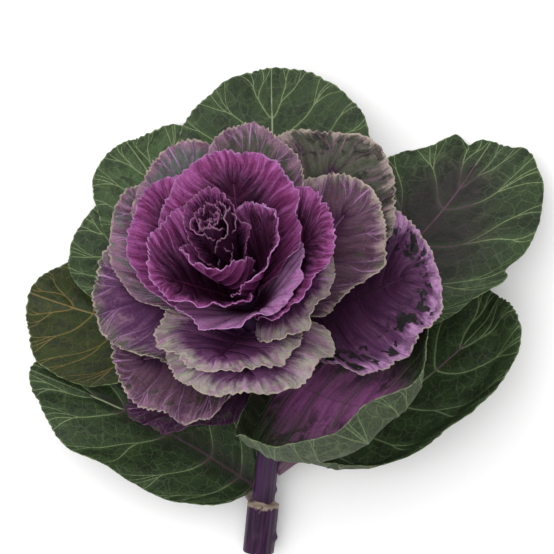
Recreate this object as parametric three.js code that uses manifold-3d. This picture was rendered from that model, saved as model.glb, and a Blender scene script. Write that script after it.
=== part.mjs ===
// A purple ornamental kale, cut with a short stalk and laid down. The stalk's cut end and three of the
// lower leaves touch the surface, z = 0, and the head looks up and a little to the left.
// Millimetres and degrees. +Z is up, X runs to the right and Y from the cut end towards the head.
// The leaves sit round the stalk in whorls, each on its own shell round the stalk's axis, and the shells
// lie one inside the next, so that neighbouring leaves wrap each other without crossing.
import * as THREE from "three";
import { mergeVertices } from "three/addons/utils/BufferGeometryUtils.js";
import Module from "manifold-3d";

const wasm = await Module();
wasm.setup();

const DEGREE = Math.PI / 180;

// The stalk, measured along its centre line from the cut end.
const STALK_TOP = 186;
const CUT_CENTRE = { x: -10.5, y: -151 };
const CUT_RADIUS = 8.5;
const NECK_RADIUS = 6.8;
const HEAD_RADIUS = 8.6;
const TOP_RADIUS = 4.4;
const SCAR_AT = 28;
const BEND_FROM = 74;
const BEND_TO = 132;
const LYING_LEAN = 13;
const HEAD_LEAN = 58;
const LYING_HEADING = -6;
const HEAD_HEADING = 20;
const HEART_FROM = 140;
const HEART_LEAN = 50;
const HEART_HEADING = 24;
const STALK_SIDES = 14;
const STALK_RINGS = 24;

// The heart, which goes on from the top of the stalk.
const HEART_TOP = 212;
const HEART_TIP_RADIUS = 1.6;

const LEAF_THICKNESS = 1;
const ROOT_SINK = 2.5;
const CLEARANCE = 0.35;
const FINEST = 0.1;
const MOST_WRAP = 140 * DEGREE;
const BLADE_END_ANGLE = 0.93 * Math.PI;

// How each whorl is made: how finely its leaves are split, their midrib's radius at the root, the height
// of the waves and how many of them run round the edge, and the colour.
const WHORLS = {
  outer: { columns: 22, rows: 4, rib: 4, wave: 4, folds: 5, colour: 0x3f5a3a },
  middle: { columns: 18, rows: 3, rib: 3, wave: 3.2, folds: 6, colour: 0x8a5f86 },
  inner: { columns: 16, rows: 3, rib: 1.6, wave: 1.6, folds: 6, colour: 0x7b2f73 },
  heart: { columns: 10, rows: 2, rib: 1.2, wave: 0.7, folds: 5, colour: 0x6d2464 },
};

// Each leaf: its height on the stalk, its turn round it (0 is right, 90 the side lying down, 180 left and
// 270 the side facing up), the angle at its root and at its tip above the plane across the stalk, its
// length and width, the share of the length that is bare petiole, the angle through which the midrib bends
// sideways, how far the edge curls outwards (below 0, how far one side of it cups inwards), and how far the
// broadest place lies towards the tip.
const LEAVES = {
  outer: [
    [137, 67, 5, 24, 149, 106, 0.3, 4, 0, 0.1],
    [131, 102, 4, 19, 140, 80, 0.3, 4, 0, 0.1],
    [124, 122, 5, 14, 124, 80, 0.3, -4, 0, 0.1],
    [117, 146, 4, 8, 132, 84, 0.3, -4, 0, 0.1],
    [34, 132, 34, 22, 140, 76, 0.02, 14, -3, -0.1],
    [133, 8, -5.5, -3, 172, 106, 0.24, 40, 0, -0.06],
    [50, -3, 5, 15, 158, 86, 0.11, 31, -14, 0.1],
    [108, 298, 18, 56, 122, 158, 0.06, 22, -22, -0.05],
  ],
  middle: [
    [139, 350, 20, 18, 98, 94, 0.18, 4, 0, 0.05],
    [148, 253, 48, 8, 56, 84, 0.1, -3, 4, 0],
    [136, 182, 23, 19, 76, 86, 0.12, -4, 0, 0],
    [142, 145, 30, 21, 87, 76, 0.12, 4, 0, 0],
    [147, 119, 36, 25, 94, 70, 0.12, -4, 0, 0],
    [152, 95, 39, 31, 98, 70, 0.12, 4, 0, 0],
    [157, 68, 43, 34, 98, 58, 0.12, -4, 0, 0],
    [145, 40, 22, 16, 110, 84, 0.14, 5, 0, 0.05],
    [150, 20, 31, 20, 88, 72, 0.12, 4, 0, 0.05],
    [164, 336, 46, 34, 58, 68, 0.1, -4, 3, 0],
    [156, 234, 45, 33, 57, 76, 0.1, 3, 3, 0],
  ],
  inner: [
    [177, 182, 58, 54, 65, 76, 0.05, 4, 0, -0.15],
    [170, 358, 49, 40, 74, 76, 0.05, -4, 0, -0.15],
    [175, 64, 54, 47, 79, 76, 0.05, 4, 0, -0.15],
    [172, 280, 54, 42, 54, 76, 0.05, 3, 0, -0.15],
    [166, 119, 45, 44, 80, 68, 0.05, -4, 0, -0.15],
    [181, 346, 60, 67, 62, 54, 0.04, 4, 0, -0.15],
    [186, 226, 68, 74, 56, 44, 0.04, -4, 0, -0.15],
    [191, 82, 73, 83, 62, 40, 0.04, 3, 0, -0.15],
  ],
  heart: [
    [195, 330, 78, 84, 56, 29, 0.03, 3, 0, -0.15],
    [198, 190, 78, 85, 53, 26, 0.03, -3, 0, -0.15],
    [201, 60, 79, 86, 50, 21, 0.03, 3, 0, -0.15],
    [204, 300, 80, 86, 46, 17, 0.03, -3, 0, -0.15],
    [207, 170, 81, 87, 41, 13, 0.03, 3, 0, -0.15],
  ],
};

const mix = (a, b, share) => a + (b - a) * share;

// Rises from 0 at a to 1 at b, with no kink at either end.
function ramp(a, b, value) {
  const share = Math.min(Math.max((value - a) / (b - a), 0), 1);
  return share * share * (3 - 2 * share);
}

// A fixed number from 0 to 1 for each pair of whole numbers.
function chance(leaf, draw) {
  const value = Math.sin(leaf * 12.9898 + draw * 78.233) * 43758.5453;
  return value - Math.floor(value);
}

// The stalk's axes at a distance along it: along points to the head, right across it, and back away from
// the side that faces up.
function stalkAxes(distance) {
  const bend = ramp(BEND_FROM, BEND_TO, distance);
  const turnBack = ramp(HEART_FROM, HEART_TOP, distance);
  const lean = mix(mix(LYING_LEAN, HEAD_LEAN, bend), HEART_LEAN, turnBack) * DEGREE;
  const heading = mix(mix(LYING_HEADING, HEAD_HEADING, bend), HEART_HEADING, turnBack) * DEGREE;
  const along = new THREE.Vector3(
    -Math.sin(heading) * Math.cos(lean),
    Math.cos(heading) * Math.cos(lean),
    Math.sin(lean),
  );
  const right = new THREE.Vector3(Math.cos(heading), Math.sin(heading), 0);
  return { along, right, back: along.clone().cross(right) };
}

// The centre line, a point for every millimetre. Its first point lifts the cut end's rim to the surface.
const centreLine = [
  new THREE.Vector3(CUT_CENTRE.x, CUT_CENTRE.y, CUT_RADIUS * Math.cos(LYING_LEAN * DEGREE)),
];
for (let distance = 0; distance < HEART_TOP; distance += 1) {
  const last = centreLine[centreLine.length - 1];
  centreLine.push(last.clone().add(stalkAxes(distance + 0.5).along));
}

function stalkPoint(distance) {
  const index = Math.min(Math.max(Math.floor(distance), 0), centreLine.length - 2);
  return centreLine[index].clone().lerp(centreLine[index + 1], distance - index);
}

// Thick below the leaf scar, narrow above it, thick again where the leaves crowd, and thin at the heart.
function stalkRadius(distance) {
  if (distance < SCAR_AT) return CUT_RADIUS;
  const swelling = ramp(SCAR_AT + 10, BEND_TO, distance);
  const taper = ramp(BEND_TO + 10, STALK_TOP, distance);
  const tip = ramp(STALK_TOP, HEART_TOP, distance);
  const body = mix(mix(NECK_RADIUS, HEAD_RADIUS, swelling), TOP_RADIUS, taper);
  return mix(body, HEART_TIP_RADIUS, tip);
}

// A closed round bar along any line: place gives the centre and the two cross axes at a distance.
function bar(from, to, sides, rings, radius, place) {
  const geometry = new THREE.CylinderGeometry(1, 1, 1, sides, rings);
  geometry.deleteAttribute("normal");
  geometry.deleteAttribute("uv");
  const tube = mergeVertices(geometry);
  const position = tube.getAttribute("position");
  for (let i = 0; i < position.count; i += 1) {
    const distance = mix(from, to, position.getY(i) + 0.5);
    const { centre, right, back } = place(distance);
    const size = radius(distance);
    const point = centre
      .clone()
      .addScaledVector(right, -position.getX(i) * size)
      .addScaledVector(back, position.getZ(i) * size);
    position.setXYZ(i, point.x, point.y, point.z);
  }
  return solid(position.array, tube.getIndex().array);
}

function solid(positions, triangles) {
  return new wasm.Manifold(
    new wasm.Mesh({
      numProp: 3,
      vertProperties: Float32Array.from(positions),
      triVerts: Uint32Array.from(triangles),
    }),
  );
}

function stalkBar(from, to, extra = 0) {
  const rings = Math.max(2, Math.round((STALK_RINGS * (to - from)) / STALK_TOP));
  const place = (distance) => ({ centre: stalkPoint(distance), ...stalkAxes(distance) });
  return bar(from, to, STALK_SIDES, rings, (distance) => stalkRadius(distance) + extra, place);
}

// The shell that a leaf lies on, which turns its side view round the stalk's axis. The side view starts
// at the root and runs past the tip, with a distance from the axis, a height and an angle for each step.
function leafShell(leaf) {
  const steps = 70;
  const step = (leaf.length * 1.4) / steps;
  const sideView = [{ out: stalkRadius(leaf.height) - ROOT_SINK, up: 0, angle: leaf.rootAngle * DEGREE }];
  for (let i = 1; i <= steps; i += 1) {
    const share = Math.min((i * step) / leaf.length, 1.15);
    const angle = mix(leaf.rootAngle, leaf.tipAngle, share * share * (1.6 - 0.6 * share)) * DEGREE;
    const last = sideView[i - 1];
    const middle = (last.angle + angle) / 2;
    sideView.push({
      out: last.out + step * Math.cos(middle),
      up: last.up + step * Math.sin(middle),
      angle,
    });
  }
  const at = (distance) => {
    const index = Math.min(Math.max(distance / step, 0), steps - 1e-6);
    const low = sideView[Math.floor(index)];
    const high = sideView[Math.floor(index) + 1];
    const share = index - Math.floor(index);
    return {
      out: mix(low.out, high.out, share),
      up: mix(low.up, high.up, share),
      angle: mix(low.angle, high.angle, share),
    };
  };
  const { along, right, back } = stalkAxes(Math.max(leaf.height, BEND_TO));
  const root = stalkPoint(leaf.height);
  // A place on the flat leaf, along its midrib and across it, and how far it stands off the shell.
  return (distance, across, lift) => {
    const middle = at(distance);
    const cone = middle.out / Math.max(Math.cos(middle.angle), 0.15);
    const spot = at(distance + Math.hypot(cone, across) - cone);
    const spread = Math.atan(across / cone) / Math.max(Math.cos(middle.angle), 0.15);
    const turn = leaf.turn * DEGREE + MOST_WRAP * Math.tanh(spread / MOST_WRAP);
    const outwards = right.clone().multiplyScalar(Math.cos(turn)).addScaledVector(back, Math.sin(turn));
    return root
      .clone()
      .addScaledVector(outwards, spot.out - lift * Math.sin(spot.angle))
      .addScaledVector(along, spot.up + lift * Math.cos(spot.angle));
  };
}

// A place on the flat leaf, bent sideways with its midrib, put on the leaf's shell.
function bentPoint(leaf, shell, along, across, lift) {
  const bend = leaf.swerve * DEGREE;
  const reach = leaf.length / bend;
  const turned = (bend * along) / leaf.length;
  return shell((reach - across) * Math.sin(turned), reach - (reach - across) * Math.cos(turned), lift);
}

// The blade as a fan: the angle runs round its edge from one side of the base over the tip, at 0, to the
// other, and the share runs out along a side vein from the midrib to the edge.
function bladePoint(leaf, shell, angle, share) {
  const base = leaf.length * leaf.petiole;
  const half = (leaf.length - base) / 2;
  const round = 1 + leaf.lobes * (Math.abs(Math.sin(2.5 * angle + leaf.phase)) - 0.6);
  const edgeAcross = ((Math.sin(angle) * leaf.width) / 2) * (1 + leaf.broad * Math.cos(angle)) * round;
  const edgeAlong = base + half + half * Math.cos(angle) * (angle === 0 ? 1 : mix(1, round, 0.7));
  const veinStart = base + half * 1.72 * (0.5 + 0.5 * Math.cos(angle)) ** 1.1;
  const waves =
    0.62 * Math.sin(leaf.folds * angle + leaf.phase * 5) +
    0.38 * Math.sin(1.7 * leaf.folds * angle + leaf.phase * 9);
  const calm = 1 - (Math.abs(angle) / Math.PI) ** 3;
  const curl = leaf.curl < 0 ? leaf.curl * (0.5 - 0.5 * Math.sin(angle)) : leaf.curl;
  const lift = leaf.wave * waves * calm * share ** 1.8 - curl * ramp(0.6, 1, share);
  return bentPoint(leaf, shell, mix(veinStart, edgeAlong, share), edgeAcross * share, lift);
}

// The blade, with its two faces split into triangles alike and a narrow edge all round.
function blade(leaf, shell) {
  const { columns, rows } = leaf;
  const middle = columns / 2;
  const points = [];
  const index = new Map();
  const corner = (column, row) => {
    // On the midrib the fan's two halves meet, so a column and its mirror image share one corner.
    const key = row === 0 ? `m${Math.abs(column - middle)}` : `${column},${row}`;
    if (!index.has(key)) {
      const angle = ((column - middle) / middle) * BLADE_END_ANGLE;
      index.set(key, points.length);
      points.push(bladePoint(leaf, shell, row === 0 ? Math.abs(angle) : angle, row / rows));
    }
    return index.get(key);
  };
  const faces = [];
  for (let column = 0; column < columns; column += 1) {
    for (let row = 0; row < rows; row += 1) {
      const [a, b] = [corner(column, row), corner(column, row + 1)];
      const [c, d] = [corner(column + 1, row + 1), corner(column + 1, row)];
      faces.push([a, c, b], [a, d, c]);
    }
  }
  const geometry = new THREE.BufferGeometry().setFromPoints(points).setIndex(faces.flat());
  geometry.computeVertexNormals();
  const normal = geometry.getAttribute("normal");
  const positions = [];
  for (const side of [0.5, -0.5]) {
    points.forEach((point, i) => {
      const offset = new THREE.Vector3().fromBufferAttribute(normal, i);
      point.clone().addScaledVector(offset, side * LEAF_THICKNESS).toArray(positions, positions.length);
    });
  }
  const under = points.length;
  const triangles = faces.flatMap(([a, b, c]) => [a, b, c, a + under, c + under, b + under]);
  const directed = new Set(faces.flatMap(([a, b, c]) => [`${a},${b}`, `${b},${c}`, `${c},${a}`]));
  for (const edge of directed) {
    const [a, b] = edge.split(",").map(Number);
    if (!directed.has(`${b},${a}`)) triangles.push(b, a, a + under, b, a + under, b + under);
  }
  return solid(positions, triangles);
}

// The petiole and midrib, a tapering bar that runs under the blade and is sunk into it.
function midrib(leaf, shell) {
  const end = leaf.length * mix(leaf.petiole, 1, 0.7);
  const radius = (distance) => mix(leaf.rib, 0.8, (distance / end) ** 0.8);
  const place = (distance) => {
    const size = radius(distance);
    const at = (along, across, lift) => bentPoint(leaf, shell, along, across, lift);
    const centre = at(distance, 0, LEAF_THICKNESS / 2 - size * 0.85);
    const right = at(distance, 1, 0).sub(at(distance, 0, 0)).normalize();
    const ahead = at(distance + 1, 0, 0).sub(at(distance, 0, 0)).normalize();
    return { centre, right, back: ahead.cross(right) };
  };
  return bar(0, end, 5, 5, radius, place);
}

function leafSolid(leaf) {
  const shell = leafShell(leaf);
  return blade(leaf, shell).add(midrib(leaf, shell));
}

function namedLeaf(row, whorl, number) {
  const [height, turn, rootAngle, tipAngle, length, width, petiole, swerve, curl, broad] = row;
  const seed = Object.keys(LEAVES).indexOf(whorl) * 20 + number;
  return {
    ...WHORLS[whorl],
    height,
    turn,
    rootAngle,
    tipAngle,
    length,
    width,
    petiole,
    swerve,
    curl,
    broad,
    phase: chance(seed, 1) * Math.PI * 2,
    lobes: mix(0.05, 0.1, chance(seed, 2)),
  };
}

function mesh(name, shape, colour) {
  const { vertProperties, triVerts, numProp } = shape.getMesh();
  const geometry = new THREE.BufferGeometry();
  geometry.setAttribute("position", new THREE.BufferAttribute(Float32Array.from(vertProperties), numProp));
  geometry.setIndex([...triVerts]);
  geometry.computeVertexNormals();
  const material = new THREE.MeshStandardMaterial({ color: colour, roughness: 0.6, metalness: 0 });
  const made = new THREE.Mesh(geometry, material);
  made.name = name;
  return made;
}

const kale = new THREE.Group();

const stalk = stalkBar(0, STALK_TOP);
kale.add(mesh("stalk", stalk, 0x5a2c60));

// The lowest leaves are pressed flat where they meet the surface.
const stalkRoom = stalkBar(-1, HEART_TOP + 1, CLEARANCE);
for (const whorl of ["outer", "middle", "inner"]) {
  LEAVES[whorl].forEach((row, i) => {
    const leaf = namedLeaf(row, whorl, i + 1);
    const shape = leafSolid(leaf).subtract(stalkRoom).simplify(FINEST).trimByPlane([0, 0, 1], 0);
    kale.add(mesh(`${whorl}_leaf_${i + 1}`, shape, leaf.colour));
  });
}

let heart = stalkBar(STALK_TOP + CLEARANCE, HEART_TOP);
LEAVES.heart.forEach((row, i) => {
  heart = heart.add(leafSolid(namedLeaf(row, "heart", i + 1)));
});
// Pockets closed off between the heart's leaves are filled.
const [whole] = heart.decompose().sort((a, b) => b.volume() - a.volume());
kale.add(mesh("heart", whole.simplify(FINEST), WHORLS.heart.colour));

// The origin is on the surface, under the middle of the whole.
const middle = new THREE.Box3().setFromObject(kale).getCenter(new THREE.Vector3());
for (const piece of kale.children) piece.geometry.translate(-middle.x, -middle.y, 0);

export default kale;
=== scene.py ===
import math

import bpy
import numpy as np
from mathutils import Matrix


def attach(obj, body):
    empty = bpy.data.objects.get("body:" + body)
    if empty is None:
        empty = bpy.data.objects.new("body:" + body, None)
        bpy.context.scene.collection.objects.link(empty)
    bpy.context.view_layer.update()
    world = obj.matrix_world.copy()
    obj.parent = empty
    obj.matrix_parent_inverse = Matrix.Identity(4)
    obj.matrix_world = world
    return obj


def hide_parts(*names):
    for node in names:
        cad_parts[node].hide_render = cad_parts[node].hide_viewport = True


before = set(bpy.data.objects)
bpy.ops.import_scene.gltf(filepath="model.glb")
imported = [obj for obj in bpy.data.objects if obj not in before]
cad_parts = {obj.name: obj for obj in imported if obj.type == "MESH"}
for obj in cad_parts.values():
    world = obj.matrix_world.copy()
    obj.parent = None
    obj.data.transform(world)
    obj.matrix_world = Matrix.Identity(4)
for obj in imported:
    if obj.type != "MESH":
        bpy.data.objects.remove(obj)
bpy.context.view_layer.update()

bl_info = {
    "name": "Ornamental kale head",
    "version": (1, 0, 0),
    "blender": (4, 5, 0),
    "location": "3D View > Sidebar > Kale",
    "description": "Grows a cut head of purple ornamental kale, leaf by leaf, round its stalk",
    "category": "Add Mesh",
}

# The plant's own sizes are in millimetres and degrees, as its solids are. The scene is in metres.
MM = 0.001
DEGREE = math.pi / 180
BODY = "root"

# Where the middle of the whole lies in the plant's own millimetres. The frame has its origin there.
MIDDLE = (0.99639, -19.44785)

# The stalk, measured along its centre line from the cut end: its tip, the middle of its cut end, the leaf
# scar, and the bud scars with their turn, distance and height.
STALK_TOP = 186
CUT_CENTRE = (-10.5, -151)
SCAR_AT = 28
BUD_SCARS = ((12, 36, 1.4), (-8, 9, 1.2))

# Where the stalk bends up, its lean and heading while it lies, in the head and at the heart, and where it
# swells and tapers.
BEND = (74, 132)
LYING = (13, -6)
HEAD = (58, 20)
HEART = (50, 24)
HEART_FROM = 140
HEART_TOP = 212
HEART_TIP_RADIUS = 1.6
SWELLS_FROM = SCAR_AT + 10
TAPERS_FROM = BEND[1] + 10

# The stalk's skin: the points round each ring, where its finer rings end, and its ridges, with how many
# there are, how they twist, their phase and their height.
STALK_SIDES = 72
FINE_TO = 56
RIDGES = ((5, 0.02, 0, 0.03), (13, 0, 1, 0.014))

# The leaf scar's torn ring: how far it wanders, from where to where the stalk steps in, its height and
# width. Then how far a bud scar spreads.
SCAR_WANDER = 1.1
SCAR_STEP = (-0.6, 1.2)
SCAR_HEIGHT = 0.45
SCAR_WIDTH = 0.8
BUD_SPREAD = 5.0

# How deep a petiole sinks into the stalk, and how far the lowest points stay above the surface.
ROOT_SINK = 2.5
LOWEST = 0.15

# A leaf's shell: how far round the stalk it wraps, its steps, how far it and its bend go on, as shares of
# the leaf's length, and the least cosine of its slope.
MOST_WRAP = 140 * DEGREE
SHELL_STEPS = 70
SHELL_REACH = 1.4
BEND_ENDS = 1.15
STEEPEST = 0.15

# A blade: where its edge meets the petiole, how its rows crowd at the edge, how little and how much it is
# lobed, and its low waves, each with its share, pace and phase.
BLADE_END = 0.93 * math.pi
ROW_CROWDING = 0.92
LOBES = (0.05, 0.1)
WAVES = ((0.62, 1, 5), (0.38, 1.7, 9))

# How the side veins wander: how far, how fast along them and between them, and the phase. Then where they
# fork, how much and how fast that changes from vein to vein, over what share, and how far in spaces.
WANDERINGS = ((0.14, 3.1, 2.3, 1), (0.08, 8.3, -3.9, 3))
FORKS = ((0.5, 0.16, 2.3, 0.5, 0.25), (0.74, 0.08, 3.7, 0.3, 0.115))

# A midrib: its rings, the points round each, where it ends, the radius of its tip, how flat it is above,
# how much and over what share its foot widens, and the height and number of its ridges.
RIB_RINGS = 44
RIB_SIDES = 16
RIB_END = 0.86
RIB_TIP = 0.35
RIB_FLATNESS = 0.75
RIB_FOOT = (0.35, 0.09)
RIB_RIDGES = (0.05, 7)

# The stage, in metres: half the floor's side, the soft light's place and size, the camera's sensor (in
# millimetres), and how near and how far it sees.
FLOOR_REACH = 6.0
SOFTBOX_AT = (-0.55, 0.4, 1.8)
SOFTBOX_SIZE = 2.4
SENSOR_WIDTH = 36
CAMERA_SIGHT = (0.05, 20)

# How finely the leaves of each whorl are split, their midrib's radius at the root, the height of the low
# waves and how many of them run round the edge, how many side veins lie on either side of the midrib, and
# how much wider than its solid a leaf is, because its frilled edge reaches round its neighbours.
WHORLS = {
    "outer": dict(columns=280, rows=30, rib=4.0, wave=4.0, folds=5, veins=7, spread=1),
    "middle": dict(columns=280, rows=24, rib=3.0, wave=3.2, folds=6, veins=7, spread=1.08),
    "inner": dict(columns=280, rows=20, rib=1.6, wave=1.6, folds=6, veins=9, spread=1.18),
    "heart": dict(columns=120, rows=14, wave=0.7, folds=5, veins=8, spread=1.08),
}
WHORL_ORDER = ("outer", "middle", "inner", "heart")

# Each leaf: its height on the stalk, its turn round it, the angle at its root and at its tip above the
# plane across the stalk, its length and width, the share of the length that is bare petiole, the angle
# through which the midrib bends sideways, how far the edge curls outwards, and how far the broadest place
# lies towards the tip. A curl below 0 is how far one side cups inwards.
LEAVES = {
    "outer": [
        (137, 67, 5, 24, 149, 106, 0.3, 4, 0, 0.1),
        (131, 102, 4, 19, 140, 80, 0.3, 4, 0, 0.1),
        (124, 122, 5, 14, 124, 80, 0.3, -4, 0, 0.1),
        (117, 146, 4, 8, 132, 84, 0.3, -4, 0, 0.1),
        (34, 132, 34, 22, 140, 76, 0.02, 14, -3, -0.1),
        (133, 8, -5.5, -3, 172, 106, 0.24, 40, 0, -0.06),
        (50, -3, 5, 15, 158, 86, 0.11, 31, -14, 0.1),
        (108, 298, 18, 56, 122, 158, 0.06, 22, -22, -0.05),
    ],
    "middle": [
        (139, 350, 20, 18, 98, 94, 0.18, 4, 0, 0.05),
        (148, 253, 48, 8, 56, 84, 0.1, -3, 4, 0),
        (136, 182, 23, 19, 76, 86, 0.12, -4, 0, 0),
        (142, 145, 30, 21, 87, 76, 0.12, 4, 0, 0),
        (147, 119, 36, 25, 94, 70, 0.12, -4, 0, 0),
        (152, 95, 39, 31, 98, 70, 0.12, 4, 0, 0),
        (157, 68, 43, 34, 98, 58, 0.12, -4, 0, 0),
        (145, 40, 22, 16, 110, 84, 0.14, 5, 0, 0.05),
        (150, 20, 31, 20, 88, 72, 0.12, 4, 0, 0.05),
        (164, 336, 46, 34, 58, 68, 0.1, -4, 3, 0),
        (156, 234, 45, 33, 57, 76, 0.1, 3, 3, 0),
    ],
    "inner": [
        (177, 182, 58, 54, 65, 76, 0.05, 4, 0, -0.15),
        (170, 358, 49, 40, 74, 76, 0.05, -4, 0, -0.15),
        (175, 64, 54, 47, 79, 76, 0.05, 4, 0, -0.15),
        (172, 280, 54, 42, 54, 76, 0.05, 3, 0, -0.15),
        (166, 119, 45, 44, 80, 68, 0.05, -4, 0, -0.15),
        (181, 346, 60, 67, 62, 54, 0.04, 4, 0, -0.15),
        (186, 226, 68, 74, 56, 44, 0.04, -4, 0, -0.15),
        (191, 82, 73, 83, 62, 40, 0.04, 3, 0, -0.15),
    ],
    "heart": [
        (195, 330, 78, 84, 56, 29, 0.03, 3, 0, -0.15),
        (198, 190, 78, 85, 53, 26, 0.03, -3, 0, -0.15),
        (201, 60, 79, 86, 50, 21, 0.03, 3, 0, -0.15),
        (204, 300, 80, 86, 46, 17, 0.03, -3, 0, -0.15),
        (207, 170, 81, 87, 41, 13, 0.03, 3, 0, -0.15),
    ],
}

# Leaves of the heart too small and too many to be solids: the same numbers as above.
TUFT = [
    (196, 20, 77, 83, 53, 25, 0.03, 3, 0, -0.15),
    (199, 255, 79, 85, 51, 23, 0.03, -3, 0, -0.15),
    (202, 125, 80, 86, 48, 19, 0.03, 3, 0, -0.15),
    (205, 355, 81, 87, 44, 15, 0.03, -3, 0, -0.15),
    (208, 240, 82, 88, 39, 12, 0.03, 3, 0, -0.15),
    (209, 60, 82, 88, 35, 10, 0.03, -3, 0, -0.15),
]

# How a leaf's edge is cut and ruffled, in millimetres: the depth of its teeth and how many run round the
# edge, the height of its ruffles and how many there are, and how far the blade bulges between its veins.
EDGES = {
    "outer": dict(tooth=0.6, teeth=62, ruffle=1.2, ruffles=15, pucker=1.1),
    "middle": dict(tooth=1.3, teeth=70, ruffle=2.6, ruffles=23, pucker=1.4),
    "inner": dict(tooth=1.4, teeth=60, ruffle=2.2, ruffles=23, pucker=1.7),
    "heart": dict(tooth=1.8, teeth=38, ruffle=2.0, ruffles=19, pucker=0.5),
}

# Notches in a leaf's edge: where round the edge, from -1 to 1, how deep in millimetres, how wide. A depth
# below 0 is a lobe that stands out.
NOTCHES = {("outer", 6): ((-0.46, 6, 0.025), (-0.22, -8, 0.12), (0.07, 6, 0.025))}

# A leaf drawn narrower than its solid, as a share of the width.
NARROWED = {("outer", 8): 0.93}

# Small leaves too thin and too hidden to be solids, by the leaf whose piece they belong to. Their own
# numbers come after the whorl's last.
# The shaded leaf's dark plum is painted shade, standing for the shadowed leaves beneath the rosette.
SHADED = {("middle", 3): (100, 190, 26, 22, 80, 38, 0.04, -10, 0, 0)}

# The look of a plain green leaf: colours by the names of their settings, zones as shares of the way from
# the midrib to the edge, and strengths. The other looks change some of it.
GREEN_LOOK = dict(
    root="green", body="green", outer="green", light="light_green", paleness=0.25,
    root_zone=(0.0, 0.2), outer_zone=(0.7, 1.1), drift=0.2,
    patch="deep_green_and_shade", patch_level=0.47, patch_zone=(0.0, 0.2), patchiness=0.7,
    spot="deep_green_and_shade", spot_level=0.9,
    streak=0.1, streak_colour="light_green", pleat_shading=0.2, beside=0.35,
    vein_root="vein", vein_tip="vein", vein_zone=(0.0, 0.12), vein_width=0.5,
    veins=0.8, twigs=0.16, net=0.06, rib=0.85, rib_width=0.65, length=140.0,
    rim="vein", rim_width=0.6, rim_strength=0.7, roughness=0.52, shine=0.22,
    under="under_green", under_light="olive_green", under_vein="vein", under_flush=0.1,
    rib_root="rose", rib_tip="vein", rib_light="sage", rib_zone=(0.2, 0.6),
)
VARIEGATED_LOOK = dict(
    root="plum", body="violet", outer="rose", light="violet",
    root_zone=(0.0, 0.35), outer_zone=(0.7, 0.95), drift=0.15,
    patch="olive_green", patch_level=0.52, patch_zone=(0.4, 0.6),
    streak=0.35, streak_colour="rose", pleat_shading=0.35, beside=0.1,
    vein_root="plum", vein_tip="lilac", vein_zone=(0.2, 0.9),
    veins=0.5, twigs=0.12, rib_width=0.8, length=95.0,
    rim="cream", rim_width=1.1, rim_strength=0.8, shine=0.15,
    under="violet", under_light="rose", under_vein="rose",
    rib_root="plum", rib_tip="violet", rib_light="rose",
)
# The inner leaves darken towards their roots in wine: partly their own dark purple, partly painted shade
# deepening the rosette towards its centre.
PURPLE_LOOK = dict(
    root="wine_and_shade", body="magenta", outer="orchid", light="magenta",
    root_zone=(0.35, 0.95), outer_zone=(0.8, 1.1), drift=0.15,
    patch="wine_and_shade", patch_level=0.55, patchiness=0.4,
    streak=0.6, streak_colour="orchid", pleat_shading=0.45, beside=0.05,
    vein_root="wine_and_shade", vein_tip="orchid", vein_zone=(0.2, 0.8),
    veins=0.5, twigs=0.15, net=0.08, rib=0.2, rib_width=0.6, length=75.0,
    rim="lilac", rim_width=0.8, rim_strength=0.6, roughness=0.58, shine=0.12,
    under="magenta", under_light="orchid", under_vein="orchid", under_flush=0.5,
    rib_root="wine_and_shade", rib_tip="wine_and_shade", rib_light="magenta",
)
WHORL_LOOKS = {"outer": {}, "middle": VARIEGATED_LOOK, "inner": PURPLE_LOOK, "heart": PURPLE_LOOK}

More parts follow.
